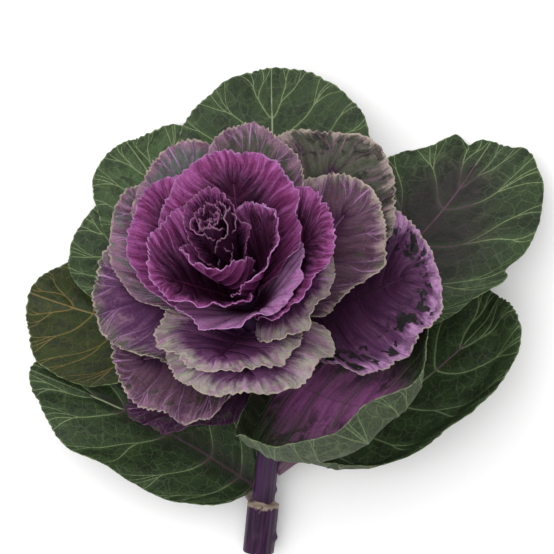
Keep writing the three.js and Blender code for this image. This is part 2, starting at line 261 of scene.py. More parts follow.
# The variegated leaves at the bottom of the rosette, with broad pale margins.
REFLEXED = dict(
    light="orchid", paleness=0.3, outer="sage", outer_zone=(0.6, 0.9),
    patch="rose", patch_level=0.5, patch_zone=(0.55, 0.75), patchiness=0.8,
    streak=0.5, rib_tip="plum", rib_light="plum",
)
OWN_LOOKS = {
    ("outer", 2): dict(body="light_green", paleness=0.5),
    ("outer", 4): dict(
        body="olive", outer="olive", light="olive", vein_root="orange_vein", vein_tip="orange_vein",
        rib_root="mauve", rib_tip="orange_vein", rib_light="orange_vein",
    ),
    # Its deep green root is painted shadow, where the head lies over it.
    ("outer", 5): dict(
        root="deep_green_and_shade", root_zone=(-0.1, 0.3), vein_root="mauve", vein_zone=(0.05, 0.25),
        rib=0.45, rib_root="mauve",
    ),
    # Its dusk root is painted shade, darkening the large leaf from its midrib outwards.
    ("outer", 6): dict(
        root="dusk_shade", root_zone=(0.2, 1.1), vein_root="mauve", vein_zone=(0.25, 0.75), veins=0.9,
        rib_width=0.9, rib_tip="mauve", rib_light="mauve",
    ),
    ("outer", 7): dict(vein_width=0.6, rib_root="mauve", rib_tip="mauve", rib_light="rose"),
    ("outer", 8): dict(
        root="orchid", root_zone=(0.0, 0.6), drift=0.4, streak=0.5, streak_colour="mauve", pleat_shading=0.45,
        vein_root="mauve", vein_zone=(0.15, 0.5), veins=0.35, twigs=0.08, rib=0.3, rib_root="violet",
    ),
    ("middle", 1): dict(
        root_zone=(0.1, 0.8), outer="lilac", paleness=0.1, streak=0.3, pleat_shading=0.4,
        patch="plum", patch_level=0.5, patch_zone=(0.1, 0.4), patchiness=0.5,
        spot="black_green", spot_level=0.5, vein_root="wine_and_shade", vein_tip="violet",
        rib=0.4, rib_root="wine_and_shade", rib_tip="wine_and_shade", rib_light="plum",
    ),
    ("middle", 2): REFLEXED,
    ("middle", 3): dict(body="mauve", outer_zone=(0.8, 1.05), patch="olive"),
    ("middle", 4): dict(outer="olive_green", outer_zone=(0.75, 0.95), patch="rose"),
    ("middle", 5): dict(body="mauve", patch="teal", patch_level=0.48),
    ("middle", 6): dict(body="teal", outer_zone=(0.75, 1.0), patch="mauve"),
    ("middle", 7): dict(body="olive_green", outer_zone=(0.7, 1.0), patch="mauve"),
    ("middle", 8): dict(
        body="olive_green", outer="cream", outer_zone=(0.86, 1.02), vein_tip="rose",
        patch="deep_green_and_shade", patch_level=0.48, patchiness=0.9,
    ),
    ("middle", 9): dict(body="mauve", outer="cream", outer_zone=(0.8, 1.05)),
    ("middle", 10): REFLEXED,
    ("middle", 11): REFLEXED,
    # Dark plum all over: painted shade.
    ("middle", 14): dict(body="plum", outer="plum", rim="mauve", streak=0.15, veins=0.2),
    # The wider wine root zones of the inner leaves are painted shade, darker where the leaves lie deep in
    # the rosette.
    ("inner", 1): dict(root_zone=(0.5, 1.0)),
    ("inner", 2): dict(root_zone=(0.4, 1.05)),
    # Its lilac body is painted light: the steep leaf is made as bright as a lit face.
    ("inner", 4): dict(body="lilac", outer="lilac", root_zone=(0.1, 0.6), pleat_shading=0.3),
    ("inner", 6): dict(root_zone=(0.7, 1.15), streak=0.3, rim_width=1.4, rim_strength=0.8),
    ("inner", 7): dict(root_zone=(0.45, 1.0)),
    ("inner", 8): dict(root_zone=(0.7, 1.05), rim="rose"),
    # The heart's leaves are wine nearly all over, above and below: painted shade for the depth of the
    # heart.
    ("heart", 1): dict(
        root_zone=(0.86, 1.5), under="wine_and_shade", under_light="plum", under_vein="plum",
        streak=0.12, veins=0.2, rim="rose", rim_strength=0.8,
    ),
}


def mix(a, b, share):
    return a + (b - a) * share


def ramp(low, high, value):
    """Rises from 0 at low to 1 at high, with no kink at either end."""
    share = np.clip((value - low) / (high - low), 0, 1)
    return share * share * (3 - 2 * share)


def chance(leaf, draw):
    """A fixed number from 0 to 1 for each pair of whole numbers."""
    value = math.sin(leaf * 12.9898 + draw * 78.233) * 43758.5453
    return value - math.floor(value)


def wander(seed, steps, places):
    """A smooth random line from -1 to 1 with a turn at each of its steps. Places run from 0 to 1."""
    values = np.random.default_rng(seed).uniform(-1, 1, steps + 2)
    spot = np.clip(places, 0, 1) * steps
    whole = np.floor(spot).astype(int)
    share = ramp(0, 1, spot - whole)
    return mix(values[whole], values[whole + 1], share)


# The stalk's own line.


def stalk_axes(distance):
    """Along points to the head, right across the stalk, and back away from the side that faces up."""
    bend = float(ramp(*BEND, distance))
    turn_back = float(ramp(HEART_FROM, HEART_TOP, distance))
    lean = mix(mix(LYING[0], HEAD[0], bend), HEART[0], turn_back) * DEGREE
    heading = mix(mix(LYING[1], HEAD[1], bend), HEART[1], turn_back) * DEGREE
    flat = math.cos(lean)
    along = np.array([-math.sin(heading) * flat, math.cos(heading) * flat, math.sin(lean)])
    right = np.array([math.cos(heading), math.sin(heading), 0])
    return along, right, np.cross(along, right)


def stalk_line(cut_radius):
    """The centre line, a point for every millimetre."""
    points = [np.array([*CUT_CENTRE, cut_radius * math.cos(LYING[0] * DEGREE)])]
    for distance in range(HEART_TOP):
        points.append(points[-1] + stalk_axes(distance + 0.5)[0])
    return np.array(points)


def stalk_point(line, distance):
    whole = int(min(max(math.floor(distance), 0), len(line) - 2))
    return mix(line[whole], line[whole + 1], distance - whole)


def stalk_radius(sizes, distance):
    """Thick below the scar, narrow above it, thick again where the leaves crowd, thin at the heart."""
    if distance < SCAR_AT:
        return sizes.cut_radius / MM
    swelling = float(ramp(SWELLS_FROM, BEND[1], distance))
    taper = float(ramp(TAPERS_FROM, STALK_TOP, distance))
    tip = float(ramp(STALK_TOP, HEART_TOP, distance))
    body = mix(mix(sizes.neck_radius, sizes.head_radius, swelling), sizes.top_radius, taper)
    return mix(body / MM, HEART_TIP_RADIUS, tip)


class Leaf:
    """One leaf's sizes, the shell round the stalk that it lies on, and how its edge is cut."""

    def __init__(self, whorl, number, row):
        (self.height, self.turn, self.root_angle, self.tip_angle, self.length, self.width) = row[:6]
        (self.petiole, self.swerve, self.curl, self.broad) = row[6:]
        self.seed = WHORL_ORDER.index(whorl) * 20 + number
        self.phase = chance(self.seed, 1) * math.tau
        self.lobes = mix(*LOBES, chance(self.seed, 2))
        self.notches = NOTCHES.get((whorl, number), ())
        for name, value in {**WHORLS[whorl], **EDGES[whorl]}.items():
            setattr(self, name, value)
        self.spread *= NARROWED.get((whorl, number), 1)
        sizes = bpy.context.scene.kale_stalk
        line = stalk_line(sizes.cut_radius / MM)
        self.step = self.length * SHELL_REACH / SHELL_STEPS
        share = np.minimum(np.arange(SHELL_STEPS + 1) * self.step / self.length, BEND_ENDS)
        bend = share * share * (1.6 - 0.6 * share)
        self.angle = mix(self.root_angle, self.tip_angle, bend) * DEGREE
        middle = (self.angle[1:] + self.angle[:-1]) / 2
        start = stalk_radius(sizes, self.height) - ROOT_SINK
        self.out = start + np.append(0, np.cumsum(self.step * np.cos(middle)))
        self.up = np.append(0, np.cumsum(self.step * np.sin(middle)))
        self.axes = stalk_axes(max(self.height, BEND[1]))
        self.root = stalk_point(line, self.height)

    def side_view(self, distance):
        index = np.clip(distance / self.step, 0, SHELL_STEPS - 1e-6)
        steps = np.arange(SHELL_STEPS + 1)
        return (np.interp(index, steps, values) for values in (self.out, self.up, self.angle))

    def shell(self, distance, across, lift):
        """A place on the flat leaf put on its shell, in the plant's millimetres."""
        out, _, angle = self.side_view(distance)
        flat = np.maximum(np.cos(angle), STEEPEST)
        cone = out / flat
        out, up, slope = self.side_view(distance + np.hypot(cone, across) - cone)
        spread = np.arctan(across / cone) / flat
        turn = self.turn * DEGREE + MOST_WRAP * np.tanh(spread / MOST_WRAP)
        along, right, back = self.axes
        outwards = np.cos(turn)[..., None] * right + np.sin(turn)[..., None] * back
        reach = (out - lift * np.sin(slope))[..., None] * outwards
        return self.root + reach + (up + lift * np.cos(slope))[..., None] * along

    def place(self, along, across, lift):
        """A place on the flat leaf, bent sideways with its midrib, put on the leaf's shell."""
        bend = self.swerve * DEGREE
        reach = self.length / bend
        turned = bend * along / self.length
        ahead = (reach - across) * np.sin(turned)
        aside = reach - (reach - across) * np.cos(turned)
        return self.shell(ahead, aside, lift)


def vein_forks(position, share):
    """How far each place is from the nearest side vein, in spacings. The veins fork twice."""
    cell = np.floor(position)
    side = np.abs(position - cell - 0.5)
    for start, change, pace, over, reach in FORKS:
        side = np.abs(side - np.clip((share - start - change * np.sin(pace * cell)) / over, 0, 1) * reach)
    return side


def grid_normals(points):
    ahead = np.gradient(points, axis=0)
    out = np.gradient(points, axis=1)
    normal = np.cross(out, ahead)
    size = np.linalg.norm(normal, axis=-1, keepdims=True)
    return normal / np.maximum(size, 1e-9)


def put(name, data):
    """A new object in the scene."""
    made = bpy.data.objects.new(name, data)
    bpy.context.scene.collection.objects.link(made)
    return made


class Patches:
    """Gathers the faces of one piece, with three flat maps at each corner and a finish for each face."""

    MAPS = ("veins", "spans", "flat")

    def __init__(self):
        self.points = []
        self.count = 0
        self.faces = []
        self.sharp = []

    def add_points(self, points):
        first = self.count
        self.points.append(points.reshape(-1, 3))
        self.count += len(self.points[-1])
        return first

    def add_faces(self, corners, maps, finish):
        """Corners is one row of point numbers per face, and maps one pair of numbers per corner."""
        self.faces.append((corners, maps, finish))

    def build(self, name, finishes):
        corners = np.concatenate([c.ravel() for c, _, _ in self.faces])
        used, corners = np.unique(corners, return_inverse=True)
        points = np.concatenate(self.points)[used] - (*MIDDLE, 0)
        points[:, 2] = np.maximum(points[:, 2], LOWEST)
        mesh = bpy.data.meshes.new(name)
        mesh.vertices.add(len(points))
        mesh.vertices.foreach_set("co", (points * MM).astype(np.float32).ravel())
        sizes = np.concatenate([np.full(len(c), c.shape[1]) for c, _, _ in self.faces])
        mesh.loops.add(len(corners))
        mesh.polygons.add(len(sizes))
        mesh.loops.foreach_set("vertex_index", corners.astype(np.int32))
        mesh.polygons.foreach_set("loop_start", np.append(0, np.cumsum(sizes)[:-1]).astype(np.int32))
        mesh.polygons.foreach_set("loop_total", sizes.astype(np.int32))
        slots = np.concatenate([np.full(len(c), f) for c, _, f in self.faces])
        mesh.polygons.foreach_set("material_index", slots.astype(np.int32))
        mesh.polygons.foreach_set("use_smooth", np.ones(len(sizes), bool))
        mesh.update(calc_edges=True)
        for k, map_name in enumerate(self.MAPS):
            layer = mesh.uv_layers.new(name=map_name)
            pairs = np.concatenate([m[k].reshape(-1, 2) for _, m, _ in self.faces])
            layer.data.foreach_set("uv", pairs.astype(np.float32).ravel())
        self.mark_sharp(mesh, used)
        mesh.validate()
        for finish in finishes:
            mesh.materials.append(finish)
        return put(name, mesh)

    def mark_sharp(self, mesh, used):
        if not self.sharp:
            return
        wanted = np.sort(np.searchsorted(used, np.concatenate(self.sharp)), axis=1)
        edges = np.zeros(len(mesh.edges) * 2, np.int32)
        mesh.edges.foreach_get("vertices", edges)
        edges = np.sort(edges.reshape(-1, 2), axis=1)
        is_sharp = np.isin(edges @ (self.count, 1), wanted @ (self.count, 1))
        mesh.attributes.new("sharp_edge", "BOOLEAN", "EDGE").data.foreach_set("value", is_sharp)


def quads(ids):
    """The point numbers of a grid's faces, wound so that the face looks along the grid's normal."""
    return np.stack([ids[:-1, :-1], ids[1:, :-1], ids[1:, 1:], ids[:-1, 1:]], -1).reshape(-1, 4)


def corner_maps(maps):
    """Each map's pair of numbers at the corners of a grid's faces."""
    made = []
    for pairs in maps:
        corners = [pairs[:-1, :-1], pairs[1:, :-1], pairs[1:, 1:], pairs[:-1, 1:]]
        made.append(np.stack(corners, 2).reshape(-1, 4, 2))
    return made


TOP, UNDER, RIB = 0, 1, 2


def blade_edge(leaf, turn, angle, place):
    """Where each side vein starts on the midrib, and where across and along the leaf it ends."""
    base = leaf.length * leaf.petiole
    half = (leaf.length - base) / 2
    lobed = 1 + leaf.lobes * (np.abs(np.sin(2.5 * turn + leaf.phase)) - 0.6)
    lobed += 0.02 * wander(leaf.seed, 26, place)
    half_width = leaf.width / 2 * leaf.spread * (1 + leaf.broad * np.cos(angle))
    across = np.sin(angle) * half_width * lobed
    along = base + half + half * np.cos(angle) * mix(1, lobed, 0.7)
    start = base + half * 1.5 * (0.5 + 0.5 * np.cos(angle)) ** 1.8
    return start, across, along


def edge_teeth(leaf, turn, place):
    """How far the edge stands out in teeth of uneven size, less its notches."""
    tooth = np.abs(((place * leaf.teeth + 0.9 * wander(leaf.seed + 7, 26, place)) % 1) * 2 - 1)
    tooth = leaf.tooth * (tooth - 0.5) * (0.8 + 0.8 * wander(leaf.seed + 3, leaf.teeth // 2, place))
    tooth += 0.35 * leaf.tooth * wander(leaf.seed + 5, 2 * leaf.teeth, place)
    for where, depth, breadth in leaf.notches:
        tooth = tooth - depth * np.exp(-(((turn / math.pi - where) / breadth) ** 2))
    return tooth


def blade_lift(leaf, turn, angle, place, share):
    """How far the blade stands off its shell: its low waves, its curled margin and its ruffled edge."""
    waves = 0
    for size, pace, phase in WAVES:
        waves = waves + size * np.sin(pace * leaf.folds * turn + leaf.phase * phase)
    calm = 1 - (np.abs(turn) / math.pi) ** 3
    one_side = 0.5 - 0.5 * np.sin(angle) if leaf.curl < 0 else 1
    lift = leaf.wave * waves * calm * share**1.8 - leaf.curl * one_side * ramp(0.6, 1, share)
    ruffles = wander(leaf.seed + 11, leaf.ruffles, place)
    ruffles = ruffles + 0.5 * wander(leaf.seed + 13, leaf.teeth, place)
    return lift + leaf.ruffle * ruffles * calm * share**4


def vein_spans(leaf, points, turn, share):
    """Each place counted in side veins, the space between two of them there, and the way to the edge."""
    wobble = 0
    for size, along_vein, from_vein, phase in WANDERINGS:
        wobble = wobble + size * np.sin(along_vein * share + from_vein * turn + phase * leaf.phase)
    position = turn / math.pi * leaf.veins + wobble * share
    step = np.linalg.norm(np.gradient(points, axis=0), axis=-1)
    spacing = step / np.maximum(np.abs(np.gradient(position, axis=0)), 1e-6)
    legs = np.linalg.norm(np.diff(points, axis=1), axis=-1)
    to_edge = np.zeros_like(share)
    to_edge[:, :-1] = np.cumsum(legs[:, ::-1], axis=1)[:, ::-1]
    return position, spacing, to_edge


def blade_faces(leaf, sizes, points, position, spacing, share):
    """The upper and lower face: bulges between the veins, and ridges under them."""
    normal = grid_normals(points)
    normal[:, 0] = normal[:, 0] + normal[::-1, 0]
    normal[:, 0] /= np.maximum(np.linalg.norm(normal[:, 0], axis=-1, keepdims=True), 1e-9)
    from_vein = vein_forks(position, share) * spacing
    bulge = leaf.pucker * (1 - np.exp(-((from_vein / np.clip(spacing * 0.2, 0.5, 3)) ** 2)))
    bulge *= ramp(0.02, 0.2, share) * mix(1, 0.55, ramp(0.8, 1, share))
    ridge = 0.55 * np.exp(-((from_vein / 0.9) ** 2)) * ramp(0, 0.06, share) * (1 - 0.8 * share)
    thick = mix(sizes.thickness, sizes.rim_thickness, share**2) / MM
    top = points + normal * (thick / 2 + bulge * 0.6 - leaf.pucker * 0.3)[..., None]
    under = points + normal * (-thick / 2 + bulge * 0.6 - leaf.pucker * 0.3 - ridge)[..., None]

    # A leaf that touches the surface lies flat on it, as thick as elsewhere.
    under[..., 2] = np.maximum(under[..., 2], LOWEST)
    top[..., 2] = np.maximum(top[..., 2], LOWEST + thick)
    return top, under


def add_blade(patches, leaf, sizes, finish=TOP):
    """The blade as a fan round its midrib: columns run round the edge, rows out along the side veins."""
    around = np.linspace(-1, 1, leaf.columns + 1)
    out = np.linspace(0, 1, leaf.rows + 1) ** ROW_CROWDING
    turn, share = np.meshgrid(around * BLADE_END, out, indexing="ij")
    place = np.broadcast_to((around[:, None] + 1) / 2, turn.shape)
    angle = np.where(share == 0, np.abs(turn), turn)
    start, edge_across, edge_along = blade_edge(leaf, turn, angle, place)
    vein_length = np.hypot(edge_along - start, edge_across)
    stretched = share + edge_teeth(leaf, turn, place) / np.maximum(vein_length, 4) * ramp(0.72, 1, share)
    along = mix(start, edge_along, stretched**1.25)
    across = edge_across * stretched**0.85
    points = leaf.place(along, across, blade_lift(leaf, turn, angle, place, share))
    position, spacing, to_edge = vein_spans(leaf, points, turn, share)
    top, under = blade_faces(leaf, sizes, points, position, spacing, share)

    ids = np.arange(share.size).reshape(share.shape)
    half_way = leaf.columns // 2
    ids[half_way + 1 :, 0] = ids[half_way - 1 :: -1, 0]
    pairs = ((position, share), (spacing, to_edge), (across, along))
    maps = [np.stack(pair, -1) for pair in pairs]
    corners = corner_maps(maps)
    upper = patches.add_points(top)
    lower = patches.add_points(under)
    patches.add_faces(quads(ids + upper)[:, ::-1], [c[:, ::-1] for c in corners], finish)
    patches.add_faces(quads(ids + lower), corners, finish + UNDER)

    # The narrow edge that joins the two faces, from one side of the base round the tip to the other.
    rim = np.concatenate([ids[:, -1], ids[-1, -2::-1], ids[0, 1:-1]])
    ahead = np.roll(rim, -1)
    strip = np.stack([rim + lower, ahead + lower, ahead + upper, rim + upper], -1)
    flat_maps = [pair.reshape(-1, 2) for pair in maps]
    strip_maps = [np.stack([m[rim], m[ahead], m[ahead], m[rim]], 1) for m in flat_maps]
    patches.add_faces(strip, strip_maps, finish)
    patches.sharp += [strip[:, :2], strip[:, 2:]]


def add_tube(patches, rings, finish, lengthways, end_finish):
    """A closed tube from its rings of points. Lengthways has each ring's distance along the tube, and its
    two ends have a finish of their own."""
    count, sides = rings.shape[:2]
    ids = np.arange(count * sides).reshape(count, sides)
    ids = np.concatenate([ids, ids[:, :1]], 1)
    girth = np.linalg.norm(rings - np.roll(rings, 1, axis=1), axis=-1).sum(1)
    around = np.broadcast_to(np.linspace(0, 1, sides + 1), (count, sides + 1))
    far = np.broadcast_to(lengthways[:, None], around.shape)
    share = far / max(lengthways[-1], 1e-6)
    maps = (
        np.stack([around, share], -1),
        np.stack([np.broadcast_to(girth[:, None], around.shape), far], -1),
        np.stack([around * girth[:, None], far], -1),
    )
    first = patches.add_points(rings)
    patches.add_faces(quads(ids + first), corner_maps(maps), finish)
    for row, order in ((0, -1), (count - 1, 1)):
        middle = rings[row].mean(0)
        centre = patches.add_points(middle)
        ring = ids[row][::order] + first
        fan = np.stack([ring[1:], ring[:-1], np.full(sides, centre)], -1)
        away = rings[row] - middle
        ahead = away[0] / np.linalg.norm(away[0])
        aside = away[sides // 4] / np.linalg.norm(away[sides // 4])
        edge = np.stack([away @ ahead, away @ aside], -1)
        edge = np.concatenate([edge, edge[:1]])[::order]
        fan_map = np.stack([edge[1:], edge[:-1], np.zeros((sides, 2))], 1)
        patches.add_faces(fan, [fan_map] * 3, end_finish)


def add_rib(patches, leaf, sizes):
    """The petiole and midrib: round below and flatter above, with low ridges, out to the tip."""
    end = leaf.length * mix(leaf.petiole, 1, RIB_END)
    distance = np.linspace(0, 1, RIB_RINGS) * end
    size = mix(leaf.rib, RIB_TIP, (distance / end) ** 0.8)
    widening, foot = RIB_FOOT
    size *= 1 + widening * (1 - ramp(0, foot, distance / leaf.length))
    round_the_rib = np.linspace(0, 1, RIB_SIDES, endpoint=False) * math.tau
    side, rise = np.cos(round_the_rib), np.sin(round_the_rib)
    rise = np.where(rise > 0, rise * RIB_FLATNESS, rise)
    height, count = RIB_RIDGES
    ridges = 1 + height * np.cos(count * round_the_rib + leaf.phase)
    lift = (sizes.thickness / 2 / MM - size)[:, None] + size[:, None] * rise * ridges
    across = size[:, None] * side * ridges
    along = np.broadcast_to(distance[:, None], across.shape)
    add_tube(patches, leaf.place(along, across, lift)[:, ::-1], RIB, distance, RIB)


# Materials.


class Shade:
    """A material's nodes. A plain value is set on its socket, and an output is linked to it."""

    def __init__(self, name):
        self.material = bpy.data.materials.new(name)
        self.material.use_nodes = True
        self.tree = self.material.node_tree
        self.tree.nodes.clear()

    def node(self, kind, inputs=None, **settings):
        made = self.tree.nodes.new("ShaderNode" + kind)
        for name, value in settings.items():
            setattr(made, name, value)
        for name, value in (inputs or {}).items():
            socket = made.inputs[name]
            if isinstance(value, bpy.types.NodeSocket):
                self.tree.links.new(value, socket)
            else:
                socket.default_value = value
        return made

    def math(self, operation, *values, clamp=False):
        inputs = dict(enumerate(values))
        return self.node("Math", inputs, operation=operation, use_clamp=clamp).outputs[0]

    def plus(self, first, *others):
        for other in others:
            first = self.math("ADD", first, other)
        return first

    def times(self, first, *others):
        for other in others:
            first = self.math("MULTIPLY", first, other)
        return first

    def swing(self, noise, amount):
        """A noise, which lies about 0.5, made to swing about 0."""
        return self.math("MULTIPLY", self.math("SUBTRACT", noise, 0.5), amount)

    def line(self, value, low, high, start=0.0, end=1.0, **settings):
        """Start below low, end above high, and an even slope between."""
        inputs = {"Value": value, "From Min": low, "From Max": high, "To Min": start, "To Max": end}
        return self.node("MapRange", inputs, **settings).outputs[0]

    def band(self, *values):
        """The same with a smooth step."""
        return self.line(*values, interpolation_type="SMOOTHSTEP")

    def blend(self, share, first, second, kind="MIX"):
        inputs = {0: share, 6: first, 7: second}
        return self.node("Mix", inputs, data_type="RGBA", blend_type=kind).outputs[2]

    def noise(self, place, scale, detail=2.0, roughness=0.5, distortion=0.0):
        inputs = {"Vector": place, "Scale": scale, "Detail": detail}
        inputs.update({"Roughness": roughness, "Distortion": distortion})
        return self.node("TexNoise", inputs).outputs[0]

    def flat_map(self, name):
        vector = self.node("UVMap", uv_map=name).outputs[0]
        parts = self.node("SeparateXYZ", {0: vector})
        return parts.outputs[0], parts.outputs[1]

    def vector(self, x, y, z=0.0):
        return self.node("CombineXYZ", {0: x, 1: y, 2: z}).outputs[0]

    def finish(self, colour, roughness, height=None, relief=0.0002, strength=0.6, **more):
        surface = self.node("BsdfPrincipled", {"Base Color": colour, "Roughness": roughness})
        for name, value in more.items():
            surface.inputs[name.replace("_", " ")].default_value = value
        if height is not None:
            bump = self.node("Bump", {"Height": height, "Distance": relief, "Strength": strength})
            self.tree.links.new(bump.outputs[0], surface.inputs["Normal"])
        output = self.node("OutputMaterial")
        self.tree.links.new(surface.outputs[0], output.inputs[0])
        return self.material


def fork_distance(shade, position, share, spacing):
    """The millimetres to the nearest side vein, forked as the blade's own relief is."""
    cell = shade.math("FLOOR", position)
    side = shade.math("ABSOLUTE", shade.math("SUBTRACT", shade.math("SUBTRACT", position, cell), 0.5))
    for start, change, pace, over, reach in FORKS:
        shift = shade.times(shade.math("SINE", shade.times(cell, pace)), change)
        fork = shade.math("SUBTRACT", shade.math("SUBTRACT", share, start), shift)
        fork = shade.times(shade.math("DIVIDE", fork, over, clamp=True), reach)
        side = shade.math("ABSOLUTE", shade.math("SUBTRACT", side, fork))
    return shade.math("MULTIPLY", side, spacing)


def web(shade, place, size, width):
    """The edges of irregular cells: how far apart, and how wide the lines are, in millimetres."""
    inputs = {"Vector": place, "Scale": 1 / size}
    cells = shade.node("TexVoronoi", inputs, feature="DISTANCE_TO_EDGE")
    return shade.band(cells.outputs["Distance"], 0.4 * width / size, 1.5 * width / size, 1, 0)


def vein_masks(shade, width):
    """Masks for the side veins, for the twigs that join them and for the finest net."""
    position, share = shade.flat_map("veins")
    spacing, to_edge = shade.flat_map("spans")
    across, along = shade.flat_map("flat")
    flat = shade.vector(across, along)
    near = fork_distance(shade, position, share, spacing)
    ragged = shade.swing(shade.noise(flat, 0.5, 2), 0.5)
    thin = shade.line(share, 0.0, 1.0, width, width * 0.4)
    veins = shade.band(shade.plus(near, ragged), shade.times(thin, 0.5), shade.times(thin, 1.7), 1, 0)
    stir = shade.node("TexNoise", {"Vector": flat, "Scale": 0.2}).outputs[1]
    stirred = shade.node("VectorMath", {0: stir, 1: (4.0, 4.0, 0), 2: flat}, operation="MULTIPLY_ADD")
    twigs = web(shade, stirred.outputs[0], 7.0, 0.24)
    net = web(shade, stirred.outputs[0], 2.3, 0.16)
    places = dict(position=position, share=share, to_edge=to_edge, flat=flat, across=across, along=along)
    return dict(places, near=near, veins=veins, twigs=twigs, net=net)


def leaf_top(name, look):
    """The upper face: root, body and outer colours, with patches, spots, streaks, veins and a rim."""
    shade = Shade(name)
    m = vein_masks(shade, look["vein_width"])
    broad = shade.noise(m["flat"], 0.03, 3, 0.6)
    fine = shade.noise(m["flat"], 0.35, 3, 0.6)
    share = shade.plus(m["share"], shade.swing(broad, look["drift"]))
    rays = shade.vector(shade.times(m["position"], 3.4), shade.times(m["share"], 1.1))
    streaks = shade.noise(rays, 1.6, 3, 0.65)

    colour = shade.blend(shade.band(share, *look["root_zone"]), look["root"], look["body"])
    ragged = shade.plus(share, shade.swing(streaks, 0.45), shade.swing(fine, 0.25))
    colour = shade.blend(shade.band(ragged, *look["outer_zone"]), colour, look["outer"])
    pale = shade.band(shade.plus(broad, shade.swing(fine, 0.3)), 0.4, 0.75)
    colour = shade.blend(shade.times(pale, look["paleness"]), colour, look["light"])
    streak = shade.times(shade.band(streaks, 0.42, 0.72), shade.band(m["share"], 0.15, 0.7))
    streak = shade.times(streak, look["streak"])
    colour = shade.blend(streak, colour, look["streak_colour"])

    islands = shade.vector(m["position"], shade.times(m["share"], 1.8))
    island = shade.plus(shade.noise(islands, 1.9, 3, 0.6, 0.4), shade.swing(fine, 0.25))
    patch = shade.band(island, look["patch_level"], look["patch_level"] + 0.14)
    patch = shade.times(patch, shade.band(m["share"], *look["patch_zone"]), look["patchiness"])
    colour = shade.blend(patch, colour, look["patch"])
    spots = shade.vector(shade.times(m["position"], 1.2), shade.times(m["share"], 2.6), 4.0)
    spot = shade.plus(shade.noise(spots, 1.9, 2, 0.6), shade.swing(fine, 0.1))
    spot = shade.band(spot, look["spot_level"], look["spot_level"] + 0.03)
    spot = shade.times(spot, shade.band(m["share"], 0.4, 0.6), shade.band(m["share"], 0.88, 0.96, 1, 0))
    colour = shade.blend(shade.times(spot, shade.band(m["near"], 0.3, 0.9)), colour, look["spot"])

    # Lighter beside the side veins: painted light standing in for the shading of the puckered blade.
    beside = shade.times(shade.band(m["near"], 0.3, 4.0, 1, 0), look["beside"])
    colour = shade.blend(beside, colour, look["light"])
    vein = shade.blend(shade.band(share, *look["vein_zone"]), look["vein_root"], look["vein_tip"])
    for mask in ("net", "twigs", "veins"):
        colour = shade.blend(shade.times(m[mask], look[mask]), colour, vein)
    rib_width = shade.line(m["along"], 10.0, look["length"], look["rib_width"], 0.25)
    rib = shade.band(shade.math("ABSOLUTE", m["across"]), rib_width, shade.times(rib_width, 1.6), 1, 0)
    colour = shade.blend(shade.times(rib, look["rib"]), colour, vein)
    lively = shade.line(shade.noise(m["flat"], 0.9, 3, 0.7), 0.3, 0.7, 0.84, 1.12)
    # Painted shade in the pleats' valleys and painted light on their ridges, where the streaks also raise
    # the relief.
    pleat_shading = shade.line(streaks, 0.32, 0.68, 1 - look["pleat_shading"], 1 + 0.4 * look["pleat_shading"])
    colour = shade.blend(1.0, colour, shade.times(lively, pleat_shading), "MULTIPLY")
    from_edge = shade.plus(m["to_edge"], shade.swing(fine, 2.6))
    rim = shade.band(from_edge, look["rim_width"] * 0.4, look["rim_width"] * 1.3, 1, 0)
    gaps = shade.band(shade.noise(m["flat"], 0.24, 3, 0.6), 0.38, 0.58, 0.15, 1)
    colour = shade.blend(shade.times(rim, gaps, look["rim_strength"]), colour, look["rim"])

    height = shade.plus(shade.times(m["veins"], -1.0), shade.times(m["twigs"], -0.5))
    height = shade.plus(height, shade.times(m["net"], -0.3), shade.times(streaks, look["streak"] * 1.5))
    height = shade.plus(height, shade.times(shade.noise(m["flat"], 1.4, 2), 0.3))
    roughness = shade.line(fine, 0.25, 0.75, look["roughness"] - 0.08, look["roughness"] + 0.1)
    return shade.finish(colour, roughness, height, 0.00035, 0.6, Specular_IOR_Level=look["shine"])


def leaf_under(name, look):
    """The lower face: paler and duller, with the side veins standing out of it."""
    shade = Shade(name)
    m = vein_masks(shade, look["vein_width"] * 1.3)
    broad = shade.noise(m["flat"], 0.05, 3, 0.6)
    fine = shade.noise(m["flat"], 0.5, 3, 0.6)
    pale = shade.times(shade.band(broad, 0.35, 0.75), shade.band(m["share"], 0.2, 0.9))
    colour = shade.blend(pale, look["under"], look["under_light"])
    root = shade.times(shade.band(m["share"], 0.0, 0.7, 1, 0), look["under_flush"])
    colour = shade.blend(root, colour, look["vein_root"])
    for mask, strength in (("net", 0.14), ("twigs", 0.25), ("veins", 0.6)):
        colour = shade.blend(shade.times(m[mask], strength), colour, look["under_vein"])
    lively = shade.line(shade.noise(m["flat"], 0.8, 3, 0.7), 0.3, 0.7, 0.85, 1.1)
    colour = shade.blend(1.0, colour, lively, "MULTIPLY")
    rim = shade.band(m["to_edge"], look["rim_width"] * 0.5, look["rim_width"] * 1.4, 1, 0)
    colour = shade.blend(shade.times(rim, look["rim_strength"]), colour, look["rim"])
    height = shade.plus(m["veins"], shade.times(m["twigs"], 0.5), shade.times(m["net"], 0.3))
    height = shade.plus(height, shade.times(fine, 0.3))
    roughness = shade.line(fine, 0.25, 0.75, 0.58, 0.72)
    return shade.finish(colour, roughness, height, 0.0003, 0.5, Specular_IOR_Level=look["shine"] * 0.7)


def rib_finish(name, look):
    """The petiole and midrib: one colour at the root and one at the tip, with fine lengthways grain."""
    shade = Shade(name)
    around, far = shade.flat_map("flat")
    _, share = shade.flat_map("veins")
    grain = shade.noise(shade.vector(around, shade.times(far, 0.06)), 1.3, 3, 0.6)
    blotch = shade.noise(shade.vector(around, far), 0.09, 2)
    reach = shade.plus(share, shade.swing(blotch, 0.4))
    colour = shade.blend(shade.band(reach, *look["rib_zone"]), look["rib_root"], look["rib_tip"])
    colour = shade.blend(shade.band(grain, 0.35, 0.7, 0.0, 0.5), colour, look["rib_light"])
    return shade.finish(colour, 0.45, grain, 0.0004, 0.5, Specular_IOR_Level=0.3)


